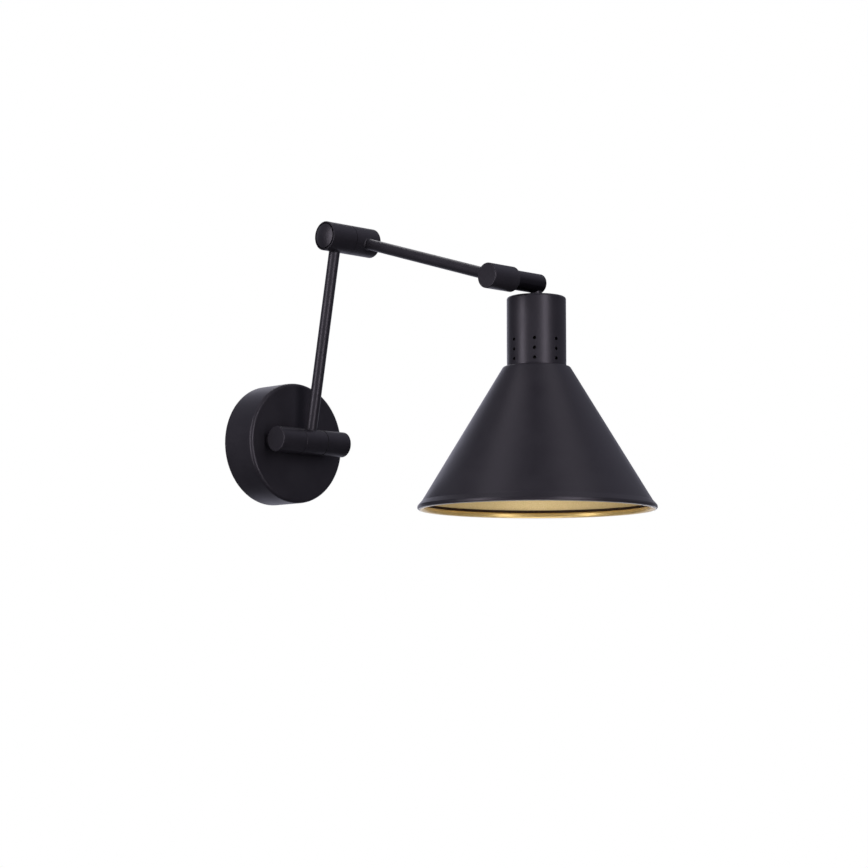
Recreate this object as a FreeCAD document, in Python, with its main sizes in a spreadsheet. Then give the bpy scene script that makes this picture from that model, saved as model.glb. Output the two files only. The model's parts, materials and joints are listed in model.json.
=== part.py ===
"""Swing arm wall sconce: canopy, two hinged arms and a tilting shade, as separate pieces.

Frame: millimetres, +Z up. The wall is the plane Y = 0, the lamp stands out from it towards -Y,
and the origin is the middle of the canopy's back. Every piece is a turned, bent or drilled part
in a local frame of its own:
  wall    origin on the wall, turned half a turn about Z, so that local +Y points away from the wall
  lower   origin at the wall pivot, local +Z along the lower arm
  upper   origin at the elbow, local +Z along the upper arm
  shade   origin at the tilt axis, turned half a turn about X, so that local +Z points down
"""
import FreeCAD, Part
import math
import os

import Sketcher
from FreeCAD import Placement, Rotation, Vector

SIZES = {
    # canopy and what fixes it to the wall
    "canopy_diameter": 121, "canopy_depth": 41, "canopy_wall": 1.2, "canopy_edge_round": 3.4,
    "bracket_length": 115, "bracket_width": 20, "bracket_sheet": 2, "bracket_ear": 17,
    "slot_spacing": 88.9, "slot_length": 12, "slot_width": 4.8, "bracket_bore": 10.5,
    "side_screw_diameter": 4, "side_screw_offset": 11, "side_screw_length": 9,
    "side_screw_play": 0.2, "hex_socket_radius": 1.15, "hex_socket_depth": 2,
    "ground_screw_height": 24, "ground_screw_diameter": 3.5, "ground_screw_inset": 0.2,
    "ground_head_diameter": 7, "ground_head_height": 2.2, "ground_head_round": 0.8,
    "ring_terminal_sheet": 0.8, "ring_terminal_width": 2, "driver_slot_width": 0.9,
    "driver_slot_depth": 0.9,
    # the two posts that carry the wall pivot
    "post_diameter": 20, "post_spacing": 62, "post_bore": 7, "stud_diameter": 10,
    "stud_length": 9, "stud_nut_height": 4, "stud_nut_flats": 16, "stud_washer_diameter": 17,
    "stud_washer_sheet": 1, "stud_play": 0.1,
    # wall pivot
    "pivot_offset": 59.6, "pivot_diameter": 25.4, "pivot_length": 89, "hub_length": 28.2,
    "cap_thickness": 1.6, "cap_edge_round": 0.9, "hub_edge_round": 0.7, "spigot_length": 1.8,
    "axle_diameter": 12.7, "axle_bore": 8.7, "running_gap": 0.05, "seat_gap": 0.02,
    "seam_washer": 0.45, "seam_inset": 0.6, "wire_window": 12,
    "set_screw_diameter": 3.5, "set_screw_length": 4.5, "set_screw_inset": 9,
    "set_screw_socket": 1, "thread_reach": 0.3,
    # arms
    "arm_length": 205.7, "arm_diameter": 11.2, "arm_bore": 8.2, "arm_seat": 7.4,
    "lower_lean": 10.8, "upper_droop": 17.2, "mouth_flare": 0.7,
    # elbow
    "elbow_diameter": 29.1, "elbow_segment": 31.5, "elbow_groove_depth": 3.2,
    "elbow_groove_radius": 13.3, "elbow_recess_radius": 11.2, "elbow_recess_depth": 9,
    "elbow_cap_radius": 12.1, "elbow_cap_rise": 2.6, "elbow_cap_edge": 0.2, "elbow_skirt": 1,
    "elbow_skirt_wall": 1.4, "elbow_edge_round": 0.5,
    "elbow_head_radius": 10.8, "elbow_head_height": 2.4, "elbow_nut_flats": 18,
    "elbow_nut_height": 3.2, "spring_washer_sheet": 1.2, "spring_washer_radius": 9.8,
    # head pivot and tilt barrel
    "head_diameter": 24.3, "head_length": 34, "head_recess_radius": 9, "head_recess_depth": 6.2,
    "head_edge_round": 0.6, "head_spigot": 1.2, "tilt_seam_inset": 0.4,
    "tilt_diameter": 19, "tilt_length": 39.1, "tilt_end_round": 1.5, "tilt_bore_end": 3.3,
    "tilt_tube_diameter": 10, "tilt_tube_bore": 6.8, "tilt_tube_reach": 28.5,
    "tilt_nut_flats": 14, "tilt_nut_height": 3, "tilt_washer_sheet": 1.1, "tilt_washer_radius": 8.4,
    # stem
    "stem_inset": 5.25, "stem_drop": 13.35, "stem_start": 5, "stem_diameter": 11.6,
    "nipple_diameter": 8,
    "nipple_bore": 5.6, "nipple_start": 3.5, "nipple_length": 31, "cup_nut_flats": 14,
    "cup_nut_height": 3.5,
    # socket cup
    "cup_diameter": 57, "cup_height": 67.4, "cup_wall": 1, "cup_edge_round": 2.5,
    "vent_diameter": 3.3, "vent_first": 43.2, "vent_pitch": 9.3, "vent_turn": 5.4,
    # lampholder, heights below the top of the socket cup
    "holder_cap_top": 19, "holder_cap_radius": 17, "holder_cap_height": 13, "holder_cap_wall": 1.8,
    "holder_cap_round": 2,
    "holder_top": 25, "holder_neck_radius": 15.15, "holder_step": 32, "holder_radius": 19.75,
    "holder_floor": 45, "holder_floor_sheet": 3.5, "holder_chamber": 12, "holder_cavity": 14.3,
    "holder_flange_radius": 23, "holder_flange_sheet": 3, "holder_end": 76,
    "shell_radius": 13.3, "shell_sheet": 0.5, "shell_length": 24, "shell_mouth": 75,
    "shell_floor_hole": 6, "contact_radius": 4, "contact_sheet": 0.8, "contact_tip_radius": 2.5,
    "contact_tip_height": 2, "contact_tip_round": 1.2, "terminal_spacing": 13, "terminal_head": 6,
    "terminal_height": 2.4, "terminal_shank": 1.9, "terminal_hole_depth": 2,
    # shade, heights below its flat top
    "shade_height": 137.3, "shade_sheet": 1, "shade_hole_radius": 20, "shade_shoulder": 32,
    "shade_shoulder_round": 3, "rim_diameter": 228.6, "cone_end_radius": 109.9,
    "cone_end_drop": 129.3, "flare_radius": 113.4, "flare_drop": 133.7,
    "lip_height": 2.8, "lip_edge": 0.8, "lip_width": 3, "hem_height": 5.4, "hem_sheet": 1.3,
    "hem_inset": 2.2, "ring_radius": 25, "ring_height": 5, "ring_edge": 0.6,
    # wires: how tightly they bend, how far spans stay apart, and where the loose ones turn
    "lead_diameter": 1.8, "lead_pitch": 2.4, "lead_bend": 3.6, "stem_lead_bend": 2.8,
    "ground_lead_bend": 5, "lead_gap": 1, "elbow_lead_inset": 5, "socket_lead_start": 8,
    "socket_lead_gap": 1.5, "supply_end_x": 9, "supply_end_y": 9, "supply_knee": 20,
    "supply_tip": 5,
}

X = Vector(1, 0, 0)
Y = Vector(0, 1, 0)
Z = Vector(0, 0, 1)
DOME = "dome"
SMALLEST_CUT = 0.01

# Where the ground lead turns, loose inside the canopy: across, out from the wall, up.
GROUND_LEAD_TURNS = ((-16, 3.9, 24), (-26, 16, 14), (-20, 24, 22))

document = FreeCAD.newDocument("swing_arm_sconce")
sheet = document.addObject("Spreadsheet::Sheet", "sizes")
for row, (alias, number) in enumerate(SIZES.items(), start=1):
    sheet.set("A%d" % row, alias)
    sheet.set("B%d" % row, str(number))
    sheet.setAlias("B%d" % row, alias)
document.recompute()

# Places that several pieces share, as expressions of the sheet's cells.
ELBOW_Y = "-sizes.pivot_offset - sizes.arm_length * sin(sizes.lower_lean)"
ELBOW_Z = "sizes.arm_length * cos(sizes.lower_lean)"
TILT_Y = ELBOW_Y + " - sizes.arm_length * cos(sizes.upper_droop)"
TILT_Z = ELBOW_Z + " - sizes.arm_length * sin(sizes.upper_droop)"
SEAM = "(sizes.seam_washer + sizes.running_gap)"
UPPER_ARM_X = "sizes.elbow_segment"
HEAD_LEFT = "(sizes.elbow_segment - sizes.head_length / 2)"
HEAD_RIGHT = "(sizes.elbow_segment + sizes.head_length / 2)"
TILT_LEFT = "(%s + sizes.running_gap)" % HEAD_RIGHT
STEM_X = "(%s + sizes.tilt_length - sizes.stem_inset)" % TILT_LEFT
AXLE_FIT = "(sizes.axle_diameter / 2 + sizes.running_gap)"
AXLE_SEAT = "(sizes.axle_diameter / 2 + sizes.seat_gap)"

pieces = []


def size(expression):
    """The number that an expression of the sheet's cells gives."""
    return float(sheet.evalExpression(str(expression)))


def bind(item, **expressions):
    """Bind properties of an object to expressions of the sheet's cells."""
    for name, expression in expressions.items():
        item.setExpression(name, str(expression))


def put(item, x=0, y=0, z=0, axis=X, angle=0):
    """Place an object, with its position and its turn bound to the sheet."""
    start = Vector(size(x), size(y), size(z))
    item.Placement = Placement(start, Rotation(axis, size(angle)))
    for letter, expression in (("x", x), ("y", y), ("z", z)):
        item.setExpression("Placement.Base." + letter, str(expression))
    if size(angle):
        item.setExpression("Placement.Rotation.Angle", str(angle))


def on_wall(item, x=0, z=0):
    put(item, x, 0, z, Z, 180)


def on_pivot(item, x=0):
    put(item, x, "-sizes.pivot_offset", 0)


def on_lower_arm(item, x=0):
    put(item, x, "-sizes.pivot_offset", 0, X, "sizes.lower_lean")


def on_elbow_lower(item, x=0):
    put(item, x, ELBOW_Y, ELBOW_Z, X, "sizes.lower_lean")


def on_upper_arm(item, x=0):
    put(item, x, ELBOW_Y, ELBOW_Z, X, "90 + sizes.upper_droop")


def on_head(item, x=0):
    put(item, x, TILT_Y, TILT_Z, X, "90 + sizes.upper_droop")


def on_tilt(item, x=0):
    put(item, x, TILT_Y, TILT_Z, X, 180)


def on_cup(item):
    put(item, STEM_X, TILT_Y, TILT_Z + " - sizes.stem_drop", X, 180)


def finish(name, item, placer, *position):
    """Name a piece, place it and list it for export."""
    item.Label = name
    placer(item, *position)
    pieces.append(item)
    return item


def origin_part(body, role):
    return [part for part in body.Origin.OriginFeatures if part.Role == role][0]


def dome_between(start, end):
    """The arc between two corners whose centre lies on the sketch's horizontal axis."""
    centre = (end.x ** 2 + end.y ** 2 - start.x ** 2 - start.y ** 2) / 2 / (end.x - start.x)
    radius = math.hypot(end.x - centre, end.y)
    half_way = math.atan2((start.y + end.y) / 2, (start.x + end.x) / 2 - centre)
    apex = Vector(centre + radius * math.cos(half_way), radius * math.sin(half_way), 0)
    return Part.Arc(start, apex, end)


def end_at(sketch, index, point):
    """Which end of an edge lies at a point: an arc may be stored the other way round."""
    edge = sketch.Geometry[index]
    return 1 if edge.StartPoint.distanceToPoint(point) < 1e-6 else 2


def outline(body, plane, corners):
    """A closed, fully bound outline. A corner is (x, y), or (x, y, DOME) where a dome starts."""
    sketch = body.newObject("Sketcher::SketchObject", body.Name + "_outline")
    sketch.AttachmentSupport = [(origin_part(body, plane), "")]
    sketch.MapMode = "FlatFace"
    points = [Vector(size(corner[0]), size(corner[1]), 0) for corner in corners]
    count = len(corners)
    for index, corner in enumerate(corners):
        ends = (points[index], points[(index + 1) % count])
        sketch.addGeometry(dome_between(*ends) if DOME in corner else Part.LineSegment(*ends))
    for index, corner in enumerate(corners):
        before = (index - 1) % count
        point = points[index]
        place = (before, end_at(sketch, before, point), index, end_at(sketch, index, point))
        sketch.addConstraint(Sketcher.Constraint("Coincident", *place))
        if DOME in corner:
            sketch.addConstraint(Sketcher.Constraint("PointOnObject", index, 3, -1))
    for index, corner in enumerate(corners):
        end = end_at(sketch, index, points[index])
        for kind, expression, axis in (("DistanceX", corner[0], -2), ("DistanceY", corner[1], -1)):
            distance = size(expression)
            if abs(distance) < 1e-9:
                sketch.addConstraint(Sketcher.Constraint("PointOnObject", index, end, axis))
                continue
            constraint = Sketcher.Constraint(kind, -1, 1, index, end, distance)
            number = sketch.addConstraint(constraint)
            sketch.setExpression("Constraints[%d]" % number, str(expression))
    return sketch


def turned(name, axis, corners):
    """A turned body. Corners are (radius, height along the axis), and the axis is X, Y or Z."""
    body = document.addObject("PartDesign::Body", name)
    plane = "XY_Plane" if axis == "Y" else "XZ_Plane"
    if axis == "X":
        corners = [(corner[1], corner[0]) + corner[2:] for corner in corners]
    sketch = outline(body, plane, corners)
    feature = body.newObject("PartDesign::Revolution", name + "_turned")
    feature.Profile = sketch
    feature.ReferenceAxis = (sketch, ["H_Axis" if axis == "X" else "V_Axis"])
    feature.Angle = 360
    document.recompute()
    return body


def tube(name, axis, inner, outer, start, end):
    """A turned ring or tube of square section."""
    return turned(name, axis, [(inner, start), (outer, start), (outer, end), (inner, end)])


def cut_from(body, before):
    """Recompute after a cut, and stop if it took nothing off the body."""
    document.recompute()
    if body.Shape.Volume > before - SMALLEST_CUT:
        raise RuntimeError("a cut in %s missed the material" % body.Name)


def drill(body, diameter, length, x=0, y=0, z=0, way=Z):
    """Take a round hole out of a body, from a point along a direction."""
    before = body.Shape.Volume
    tool = body.newObject("PartDesign::SubtractiveCylinder", body.Name + "_hole")
    bind(tool, Radius="(%s) / 2" % diameter, Height=length)
    put(tool, x, y, z)
    tool.Placement = Placement(tool.Placement.Base, Rotation(Z, way))
    cut_from(body, before)
    return tool


def flare(body, radius, widening, depth, x, z):
    """Break the mouth of a hole that runs along Z with a cone that opens at a height."""
    before = body.Shape.Volume
    tool = body.newObject("PartDesign::SubtractiveCone", body.Name + "_flare")
    opens_up = size(z) > 0
    wide = "%s + %s" % (radius, widening)
    bind(tool, Radius1=radius if opens_up else wide, Radius2=wide if opens_up else radius)
    bind(tool, Height=depth)
    put(tool, x, 0, "%s - (%s)" % (z, depth) if opens_up else z)
    cut_from(body, before)


def mill(body, length, width, height, x, y, z):
    """Take a box out of a body, from its lowest corner."""
    before = body.Shape.Volume
    tool = body.newObject("PartDesign::SubtractiveBox", body.Name + "_window")
    bind(tool, Length=length, Width=width, Height=height)
    put(tool, x, y, z)
    cut_from(body, before)


def circular_edges(shape, axis, radius, height):
    """Names of a shape's round edges with a given radius, at a given height along its axis."""
    names = []
    for index, edge in enumerate(shape.Edges, start=1):
        if not isinstance(edge.Curve, Part.Circle):
            continue
        near = abs(edge.Curve.Center.dot(axis) - size(height)) < 1e-4
        if near and abs(edge.Curve.Radius - size(radius)) < 1e-4:
            names.append("Edge%d" % index)
    return names


def dress(kind, body, axis, radius, height, amount):
    """Round (Fillet) or bevel (Chamfer) a round edge of a turned body."""
    base = body.Tip
    feature = body.newObject("PartDesign::" + kind, body.Name + "_" + kind.lower())
    feature.Base = (base, circular_edges(base.Shape, axis, radius, height))
    if kind == "Fillet":
        bind(feature, Radius=amount)
    else:
        bind(feature, Size=amount)
    document.recompute()


def repeat_round(body, feature, axis_role, count):
    """Repeat a feature evenly round one of the body's own axes."""
    pattern = body.newObject("PartDesign::PolarPattern", body.Name + "_pattern")
    pattern.Originals = [feature]
    pattern.Axis = (origin_part(body, axis_role), [""])
    pattern.Angle = 360
    pattern.Occurrences = count
    body.Tip = pattern
    document.recompute()


def nut(name, way, flats, height, bore):
    """A hexagon nut that stands on its local origin along a direction."""
    body = document.addObject("PartDesign::Body", name)
    block = body.newObject("PartDesign::AdditivePrism", name + "_hexagon")
    block.Polygon = 6
    bind(block, Circumradius="%s / 2 / cos(30)" % flats, Height=height)
    block.Placement = Placement(Vector(), Rotation(Z, way))
    document.recompute()
    drill(body, bore, height, way=way)
    return body


def group(name, parts):
    """Separate, identical pieces that share one node."""
    bundle = document.addObject("Part::Compound", name)
    bundle.Links = parts
    bundle.Label = name
    pieces.append(bundle)


def both_sides(name, make, placer, offset):
    """The same fastener on both sides of the middle, as one node of two solids."""
    parts = []
    for side in (-1, 1):
        part = make("%s_%s" % (name, "left" if side < 0 else "right"))
        placer(part, "%d * (%s)" % (side, offset))
        parts.append(part)
    group(name, parts)


def route(points, radius):
    """Straight runs joined by tangent arcs of one radius, as a wire."""
    edges = []
    here = points[0]
    for before, corner, after in zip(points, points[1:], points[2:]):
        inward = (before - corner).normalize()
        outward = (after - corner).normalize()
        half_turn = (math.pi - inward.getAngle(outward)) / 2
        setback = radius * math.tan(half_turn)
        middle = (inward + outward).normalize()
        apex = corner + middle * (radius / math.cos(half_turn) - radius)
        start = corner + inward * setback
        end = corner + outward * setback
        edges.append(Part.LineSegment(here, start).toShape())
        edges.append(Part.Arc(start, apex, end).toShape())
        here = end
    edges.append(Part.LineSegment(here, points[-1]).toShape())
    return Part.Wire(edges)


def lead(points, radius, sideways):
    """One round wire along a route, moved sideways from it by half the pitch of a pair."""
    shifted = [point + sideways for point in points]
    path = route(shifted, radius) if len(points) > 2 else Part.Wire(
        [Part.LineSegment(*shifted).toShape()])
    start = (shifted[1] - shifted[0]).normalize()
    circle = Part.Circle(shifted[0], start, size("sizes.lead_diameter / 2"))
    section = Part.Wire([circle.toShape()])
    return path.makePipeShell([section], True, False)


def lead_pair(name, points, radius, across, placer, *position):
    """The black and the white wire side by side, as one node of two solids."""
    shift = across * size("sizes.lead_pitch / 2")
    solids = [lead(points, radius, shift), lead(points, radius, shift * -1)]
    item = document.addObject("Part::Feature", name)
    item.Shape = Part.makeCompound(solids)
    finish(name, item, placer, *position)


def bracket():
    body = document.addObject("PartDesign::Body", "mounting_bracket")
    half = "sizes.bracket_length / 2"
    inside = half + " - sizes.bracket_sheet"
    ear = "sizes.bracket_ear"
    face = "sizes.bracket_sheet"
    sketch = outline(body, "YZ_Plane", [
        (0, "-" + half), (ear, "-" + half), (ear, "-(%s)" % inside), (face, "-(%s)" % inside),
        (face, inside), (ear, inside), (ear, half), (0, half)])
    strap = body.newObject("PartDesign::Pad", "mounting_bracket_strap")
    strap.Profile = sketch
    strap.SideType = "Symmetric"
    bind(strap, Length="sizes.bracket_width")
    document.recompute()
    drill(body, "sizes.bracket_bore", face, way=Y)
    drill(body, "sizes.ground_screw_diameter + 2 * sizes.running_gap", face,
          z="sizes.ground_screw_height", way=Y)
    drill(body, "sizes.side_screw_diameter + 2 * sizes.seat_gap", "sizes.bracket_length",
          y="sizes.side_screw_offset", z="-" + half)
    for side in (-1, 1):
        middle = "%d * sizes.slot_spacing / 2" % side
        run = "sizes.slot_length - sizes.slot_width"
        for end in (-1, 1):
            drill(body, "sizes.slot_width", face, z="%s + %d * (%s) / 2" % (middle, end, run), way=Y)
        mill(body, "sizes.slot_width", face, run,
             "-sizes.slot_width / 2", 0, "%s - (%s) / 2" % (middle, run))
    finish("mounting_bracket", body, on_wall)


def ground_screw():
    shank = "sizes.ground_screw_diameter / 2"
    head = "sizes.ground_head_diameter / 2"
    start = "sizes.ground_screw_inset"
    seat = "sizes.bracket_sheet + sizes.ring_terminal_sheet"
    top = seat + " + sizes.ground_head_height"
    body = turned("ground_screw", "Y", [
        (0, start), (shank, start), (shank, seat), (head, seat), (head, top), (0, top)])
    dress("Fillet", body, Y, head, top, "sizes.ground_head_round")
    mill(body, "sizes.ground_head_diameter", "sizes.driver_slot_depth", "sizes.driver_slot_width",
         "-" + head, "%s - sizes.driver_slot_depth" % top, "-sizes.driver_slot_width / 2")
    finish("ground_screw", body, on_wall, 0, "sizes.ground_screw_height")


def ground_lead():
    """A ring terminal under the green screw, and its wire, which ends free inside the canopy."""
    height = size("sizes.ground_screw_height")
    foot = Vector(0, size("sizes.bracket_sheet"), height)
    sheet_height = size("sizes.ring_terminal_sheet")
    hole = size("sizes.ground_screw_diameter / 2 + 2 * sizes.running_gap")
    rim = hole + size("sizes.ring_terminal_width")
    lap = rim - size("2 * sizes.running_gap")
    wire_size = size("sizes.lead_diameter")
    ring = Part.makeCylinder(rim, sheet_height, foot, Y)
    ring = ring.cut(Part.makeCylinder(hole, sheet_height, foot, Y))
    start = Vector(-hole - wire_size / 2, foot.y + wire_size / 2, height)
    turns = [Vector(*turn) for turn in GROUND_LEAD_TURNS]
    wire = lead([start] + turns, size("sizes.ground_lead_bend"), Vector())
    wire = wire.cut(Part.makeCylinder(lap, 2 * wire_size, foot, Y))
    item = document.addObject("Part::Feature", "ground_lead")
    item.Shape = ring.fuse(wire)
    finish("ground_lead", item, on_wall)


def canopy():
    outer = "sizes.canopy_diameter / 2"
    inner = outer + " - sizes.canopy_wall"
    front = "sizes.canopy_depth"
    back = front + " - sizes.canopy_wall"
    body = turned("canopy_cup", "Y", [
        (inner, 0), (outer, 0), (outer, front), (0, front), (0, back), (inner, back)])
    dress("Fillet", body, Y, outer, front, "sizes.canopy_edge_round")
    for side in (-1, 1):
        drill(body, "sizes.stud_diameter + 2 * sizes.stud_play", "3 * sizes.canopy_wall",
              "%d * sizes.post_spacing / 2" % side, back + " - sizes.canopy_wall", 0, Y)
    drill(body, "sizes.side_screw_diameter + 2 * sizes.side_screw_play", "sizes.canopy_diameter",
          y="sizes.side_screw_offset", z="-sizes.canopy_diameter / 2")
    finish("canopy_cup", body, on_wall)


def canopy_screws():
    """Headless screws, one above and one below, that hold the canopy to the bracket's ears."""
    parts = []
    end = "(sizes.canopy_diameter / 2)"
    for side, label in ((1, "top"), (-1, "bottom")):
        body = document.addObject("PartDesign::Body", "canopy_screw_" + label)
        rod = body.newObject("PartDesign::AdditiveCylinder", "canopy_screw_rod")
        bind(rod, Radius="sizes.side_screw_diameter / 2", Height="sizes.side_screw_length")
        socket = body.newObject("PartDesign::SubtractivePrism", "canopy_screw_socket")
        socket.Polygon = 6
        bind(socket, Circumradius="sizes.hex_socket_radius", Height="sizes.hex_socket_depth")
        put(socket, z="sizes.side_screw_length - sizes.hex_socket_depth")
        document.recompute()
        start = "%d * (%s - sizes.side_screw_length)" % (side, end)
        put(body, 0, "-sizes.side_screw_offset", start, X, 0 if side > 0 else 180)
        parts.append(body)
    group("canopy_screws", parts)


def posts():
    """Two short posts with hollow studs: they stand on the canopy and carry the pivot barrels."""
    bore = "sizes.post_bore / 2"
    stud = "sizes.stud_diameter / 2"
    face = "sizes.canopy_depth"
    start = face + " - sizes.stud_length"
    for side, label in ((-1, "left"), (1, "right")):
        body = turned("post_" + label, "Y", [
            (bore, start), (stud, start), (stud, face), ("sizes.post_diameter / 2", face),
            ("sizes.post_diameter / 2", "sizes.pivot_offset"), (bore, "sizes.pivot_offset")])
        drill(body, "sizes.pivot_diameter + 2 * sizes.seat_gap", "2 * sizes.post_diameter",
              "-sizes.post_diameter", "sizes.pivot_offset", 0, X)
        finish("post_" + label, body, on_wall, "%d * sizes.post_spacing / 2" % side)


def post_fasteners():
    bore = "sizes.stud_diameter / 2 + sizes.seat_gap"
    inside = "(sizes.canopy_depth - sizes.canopy_wall)"
    under = "(%s - sizes.stud_washer_sheet)" % inside

    def washer(name):
        return tube(name, "Y", bore, "sizes.stud_washer_diameter / 2", under, inside)

    def hexagon(name):
        return nut(name, Y, "sizes.stud_nut_flats", "sizes.stud_nut_height", "2 * (%s)" % bore)

    def lift(item, x):
        put(item, x, "-(%s - sizes.stud_nut_height)" % under, 0, Z, 180)

    both_sides("post_washers", washer, on_wall, "sizes.post_spacing / 2")
    both_sides("post_nuts", hexagon, lift, "sizes.post_spacing / 2")


def pivot_barrels():
    """The two outer segments of the wall pivot, brazed to the posts, and their end caps."""
    outer = "sizes.pivot_diameter / 2"
    far = "(sizes.pivot_length / 2 - sizes.cap_thickness)"
    near = "(sizes.hub_length / 2 + %s)" % SEAM
    length = "(%s - %s)" % (far, near)
    for side, label in ((-1, "left"), (1, "right")):
        body = tube("pivot_barrel_" + label, "X", AXLE_SEAT, outer, 0, length)
        start = "-" + far if side < 0 else near
        middle = "%d * sizes.post_spacing / 2 - (%s)" % (side, start)
        screw = "%s - sizes.set_screw_inset" % length if side < 0 else "sizes.set_screw_inset"
        drill(body, "sizes.post_bore", outer, middle, 0, 0, Y)
        drill(body, "sizes.set_screw_diameter + 2 * sizes.seat_gap", outer, screw, 0, 0, Z)
        finish("pivot_barrel_" + label, body, on_pivot, start)
        cap = turned("pivot_cap_" + label, "X", [
            (0, 0), (outer, 0), (outer, "sizes.cap_thickness"),
            ("sizes.axle_diameter / 2", "sizes.cap_thickness"),
            ("sizes.axle_diameter / 2", "sizes.cap_thickness + sizes.spigot_length"),
            (0, "sizes.cap_thickness + sizes.spigot_length")])
        dress("Fillet", cap, X, outer, 0, "sizes.cap_edge_round")
        cap.Label = "pivot_cap_" + label
        end = "%d * sizes.pivot_length / 2" % side
        put(cap, end, "-sizes.pivot_offset", 0, Z, 0 if side < 0 else 180)
        pieces.append(cap)


def pivot_axle():
    """The hollow axle. Windows let the wires in from the left post and out to the lower arm."""
    half = "(sizes.pivot_length / 2 - sizes.cap_thickness - sizes.spigot_length)"
    radius = "sizes.axle_diameter / 2"
    body = tube("pivot_tube", "X", "sizes.axle_bore / 2", radius, 0, "2 * " + half)
    mill(body, "sizes.wire_window", "sizes.axle_diameter", radius,
         "%s - sizes.wire_window / 2" % half, "-" + radius, 0)
    drill(body, "sizes.post_bore", radius, "%s - sizes.post_spacing / 2" % half, 0, 0, Y)
    finish("pivot_tube", body, on_pivot, "-" + half)


def pivot_fittings():
    outer = "sizes.pivot_diameter / 2 - sizes.seam_inset"
    screw_place = "sizes.hub_length / 2 + %s + sizes.set_screw_inset" % SEAM

    def ring(name):
        return tube(name, "X", AXLE_FIT, outer, "-sizes.seam_washer / 2", "sizes.seam_washer / 2")

    def set_screw(name):
        return tube(name, "Z", "sizes.set_screw_socket", "sizes.set_screw_diameter / 2", AXLE_SEAT,
                    "%s + sizes.set_screw_length" % AXLE_SEAT)

    middle = "sizes.hub_length / 2 + sizes.running_gap + sizes.seam_washer / 2"
    both_sides("pivot_washers", ring, on_pivot, middle)
    both_sides("pivot_set_screws", set_screw, on_pivot, screw_place)


def supply_leads():
    """The two wires that wait inside the canopy and run through the left post into the axle."""
    post_x = size("sizes.post_spacing / 2")
    axis_y = size("sizes.pivot_offset")
    points = [Vector(size("sizes.supply_end_x"), size("sizes.supply_end_y"), 0),
              Vector(post_x, size("sizes.supply_knee"), 0), Vector(post_x, axis_y, 0),
              Vector(size("sizes.supply_tip"), axis_y, 0)]
    for label, side in (("black", 1), ("white", -1)):
        shift = Vector(0, 0, side * size("sizes.lead_pitch / 2"))
        item = document.addObject("Part::Feature", "supply_lead_" + label)
        item.Shape = lead(points, size("sizes.lead_bend"), shift)
        finish("supply_lead_" + label, item, on_wall)


def lower_arm():
    barrel = "sizes.pivot_diameter / 2"
    hub = tube("pivot_hub", "X", AXLE_FIT, barrel, 0, "sizes.hub_length")
    for end in (0, "sizes.hub_length"):
        dress("Fillet", hub, X, barrel, end, "sizes.hub_edge_round")
    middle = "sizes.hub_length / 2"
    drill(hub, "sizes.arm_diameter + 2 * sizes.seat_gap", barrel, middle)
    flare(hub, "sizes.arm_diameter / 2", "sizes.mouth_flare", "sizes.mouth_flare", middle, barrel)
    finish("pivot_hub", hub, on_lower_arm, "-" + middle)
    arm = tube("lower_arm_tube", "Z", "sizes.arm_bore / 2", "sizes.arm_diameter / 2",
               "sizes.arm_seat", "sizes.arm_length - sizes.arm_seat")
    finish("lower_arm_tube", arm, on_lower_arm)


def elbow_barrel(name, length, groove_side, arm_way):
    """One segment of the elbow: a groove and a recess at its outer end, and the arm's hole."""
    outer = "sizes.elbow_diameter / 2"
    groove = "sizes.elbow_groove_radius"
    recess = "sizes.elbow_recess_radius"
    fit = AXLE_SEAT if groove_side < 0 else AXLE_FIT
    steps = [(fit, "sizes.elbow_recess_depth"), (recess, "sizes.elbow_recess_depth"),
             (recess, "sizes.elbow_groove_depth"), (groove, "sizes.elbow_groove_depth"),
             (groove, 0), (outer, 0), (outer, length), (fit, length)]
    if groove_side > 0:
        steps = [(radius, "%s - (%s)" % (length, height)) for radius, height in steps]
    body = turned(name, "X", steps)
    outer_end = 0 if groove_side < 0 else length
    dress("Fillet", body, X, outer, outer_end, "sizes.elbow_edge_round")
    middle = "sizes.elbow_segment / 2"
    if groove_side > 0:
        middle = "%s - sizes.elbow_segment / 2" % length
    mouth = outer if arm_way > 0 else "-(%s)" % outer
    drill(body, "sizes.arm_diameter + 2 * sizes.seat_gap", outer, middle, way=Z * arm_way)
    flare(body, "sizes.arm_diameter / 2", "sizes.mouth_flare", "sizes.mouth_flare", middle, mouth)
    return body


def elbow_cap(name):
    """A low domed cap with a short skirt that presses into the recess of an elbow segment."""
    edge = "sizes.elbow_cap_radius"
    skirt = "sizes.elbow_recess_radius - sizes.seat_gap"
    inside = skirt + " - sizes.elbow_skirt_wall"
    floor = "sizes.elbow_groove_depth + sizes.elbow_cap_rise"
    end = floor + " + sizes.elbow_skirt"
    return turned(name, "X", [
        (0, 0), (0, floor), (inside, floor), (inside, end), (skirt, end), (skirt, floor),
        (edge, floor), (edge, "sizes.elbow_cap_rise - sizes.elbow_cap_edge", DOME)])


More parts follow.
